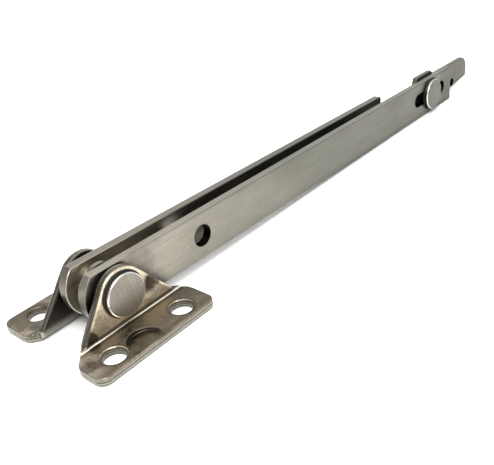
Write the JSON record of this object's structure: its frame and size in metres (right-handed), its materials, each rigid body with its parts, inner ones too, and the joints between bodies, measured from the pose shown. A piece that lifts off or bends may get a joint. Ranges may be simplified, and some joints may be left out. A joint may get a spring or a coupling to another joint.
{
  "type": "window stay",
  "caption": "Stainless flat-bar window stay: two-bracket screw-down base, long and short pivoting arms, and a slotted sliding tongue at the long arm's end.",
  "frame": {"origin": "centre of the base's four screw holes, on the mounting face", "axes": "+X along the arms towards the sliding tongue, +Y from the front bracket to the rear bracket, +Z away from the mounting face"},
  "size_m": [0.2443, 0.0452, 0.0194],
  "materials": {
    "pressed_steel": "tumbled stainless plate, soft edges",
    "bar_steel": "lengthways brushed stainless bar",
    "pin_steel": "cross-brushed stainless heads",
    "polished_steel": "polished stainless",
    "black_nylon": "moulded black nylon"
  },
  "bodies": {
    "base": {"front_bracket": "pressed_steel", "rear_bracket": "pressed_steel", "pivot_pin": "pin_steel", "pin_rear_cap": "pin_steel", "front_head_washer": "black_nylon", "rear_head_washer": "black_nylon", "front_web_washer": "black_nylon", "rear_web_washer": "black_nylon", "front_spacer": "black_nylon", "rear_spacer": "black_nylon", "centre_disc": "polished_steel"},
    "long_arm": {"long_arm": "bar_steel", "long_arm_bush": "black_nylon"},
    "short_arm": {"short_arm": "bar_steel", "short_arm_bush": "black_nylon"},
    "slider": {"slide_stud": "pin_steel", "stud_washer": "black_nylon", "slide_block": "black_nylon", "glide_strip": "black_nylon", "slide_plate": "pressed_steel", "stud_rivet_washer": "pin_steel"}
  },
  "joints": [
    {"name": "long_arm_pivot", "type": "hinge", "parent": "base", "child": "long_arm", "pos_m": [0, -0.0042, 0.0116], "axis": [0, -1, 0], "range_deg": [0, 180]},
    {"name": "short_arm_pivot", "type": "hinge", "parent": "base", "child": "short_arm", "pos_m": [0, 0.0042, 0.0116], "axis": [0, -1, 0], "range_deg": [0, 180]},
    {"name": "tongue_slide", "type": "slide", "parent": "long_arm", "child": "slider", "axis": [0.9998, 0, -0.0205], "range_m": [-0.01, 0.0085]}
  ]
}
